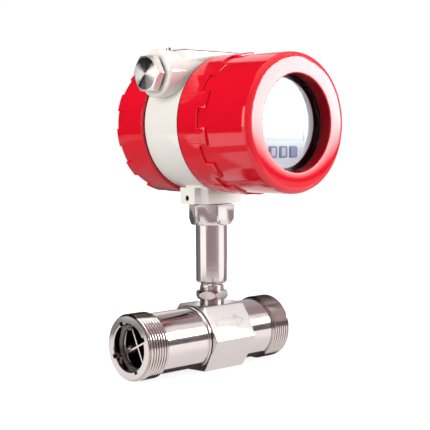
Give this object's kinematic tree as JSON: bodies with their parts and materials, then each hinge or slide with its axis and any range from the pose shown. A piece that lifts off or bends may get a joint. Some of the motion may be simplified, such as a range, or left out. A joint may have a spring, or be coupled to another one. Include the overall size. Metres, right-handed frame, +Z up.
{
  "type": "turbine flow meter",
  "caption": "Turbine flow meter: threaded stainless pipe body with a bladed rotor and flow guides, a pickup stem, and a swivelling instrument head with screwed covers, window and keys.",
  "frame": {"origin": "middle of the hexagon's underside, straight below the stem axis; the meter stands on this face", "axes": "+X along the pipe in the direction of flow, +Z up the stem, the display window faces -Y"},
  "size_m": [0.1545, 0.141, 0.2356],
  "materials": {
    "stainless_steel": "polished, lightly turned",
    "spring_steel": "oil-blackened spring steel",
    "bearing_carbide": "lapped",
    "copper_winding": "enamelled copper",
    "magnet_alloy": "ground",
    "red_enamel": "glossy stoved enamel on cast aluminium",
    "cream_enamel": "glossy stoved enamel on cast aluminium",
    "plated_fitting": "nickel plate, turned",
    "plated_screw": "plated",
    "plated_brass": "nickel-plated brass",
    "black_rubber": "moulded rubber",
    "window_glass": "clear toughened glass",
    "circuit_board": "solder resist",
    "display_cell": "polarised display",
    "white_face": "smooth film",
    "grey_key": "moulded key",
    "terminal_plastic": "moulded"
  },
  "bodies": {
    "meter": {"meter_body": "stainless_steel", "inlet_guide": "stainless_steel", "outlet_guide": "stainless_steel", "inlet_snap_ring": "spring_steel", "outlet_snap_ring": "spring_steel", "inlet_bush": "bearing_carbide", "outlet_bush": "bearing_carbide", "inlet_thrust_pad": "bearing_carbide", "outlet_thrust_pad": "bearing_carbide", "pickup_housing": "stainless_steel", "pickup_lock_nut": "stainless_steel", "pickup_coil": "copper_winding", "pickup_pole_piece": "magnet_alloy", "pickup_magnet": "magnet_alloy", "preamplifier_board": "circuit_board", "coupling_nut": "stainless_steel", "neck_seal": "black_rubber"},
    "rotor_wheel": {"rotor": "stainless_steel", "rotor_shaft": "stainless_steel"},
    "head": {"head_housing": "cream_enamel", "neck_set_screw": "plated_screw", "earth_screw": "plated_screw", "earth_washer": "plated_screw", "conduit_plug": "plated_fitting", "conduit_plug_seal": "black_rubber", "gland_body": "plated_fitting", "gland_seal": "black_rubber", "gland_insert": "black_rubber", "gland_cap": "plated_fitting", "main_board_standoffs": "plated_brass", "main_board": "circuit_board", "display_standoffs": "plated_brass", "display_board": "circuit_board", "display_screws": "plated_screw", "lcd_module": "display_cell", "display_face": "white_face", "terminal_standoffs": "plated_brass", "terminal_board": "circuit_board", "terminal_board_screws": "plated_screw", "terminal_block": "terminal_plastic", "terminal_screws": "plated_screw"},
    "left_key": {"key_left": "grey_key"},
    "middle_key": {"key_middle": "grey_key"},
    "right_key": {"key_right": "grey_key"},
    "front_seal": {"front_cover_seal": "black_rubber"},
    "front_lid": {"front_cover": "red_enamel", "window_gasket": "black_rubber", "window_glass": "window_glass", "window_ring": "plated_screw"},
    "rear_seal": {"rear_cover_seal": "black_rubber"},
    "rear_lid": {"rear_cover": "red_enamel"}
  },
  "joints": [
    {"name": "rotor_spin", "type": "hinge", "parent": "meter", "child": "rotor_wheel", "pos_m": [0, 0, 0.024], "axis": [1, 0, 0], "continuous": true},
    {"name": "head_swivel", "type": "hinge", "parent": "meter", "child": "head", "pos_m": [0, 0, 0.1221], "axis": [0, 0, 1], "range_deg": [-170, 170]},
    {"name": "front_cover_travel", "type": "slide", "parent": "head", "child": "front_seal", "axis": [0, -1, 0], "range_m": [0, 0.01201]},
    {"name": "front_cover_turn", "type": "hinge", "parent": "front_seal", "child": "front_lid", "pos_m": [0, 0, 0.1806], "axis": [0, -1, 0], "range_deg": [0, 2160]},
    {"name": "rear_cover_travel", "type": "slide", "parent": "head", "child": "rear_seal", "axis": [0, 1, 0], "range_m": [0, 0.01201]},
    {"name": "rear_cover_turn", "type": "hinge", "parent": "rear_seal", "child": "rear_lid", "pos_m": [0, 0, 0.1806], "axis": [0, 1, 0], "range_deg": [0, 2160]},
    {"name": "left_key_press", "type": "slide", "parent": "head", "child": "left_key", "axis": [0, 1, 0], "range_m": [0, 0.0005], "stiffness_N_per_m": 2000},
    {"name": "middle_key_press", "type": "slide", "parent": "head", "child": "middle_key", "axis": [0, 1, 0], "range_m": [0, 0.0005], "stiffness_N_per_m": 2000},
    {"name": "right_key_press", "type": "slide", "parent": "head", "child": "right_key", "axis": [0, 1, 0], "range_m": [0, 0.0005], "stiffness_N_per_m": 2000}
  ],
  "couplings": [
    {"joint": "front_cover_travel", "follows": "front_cover_turn", "m_per_rad": 0.00031831},
    {"joint": "rear_cover_travel", "follows": "rear_cover_turn", "m_per_rad": 0.00031831}
  ]
}
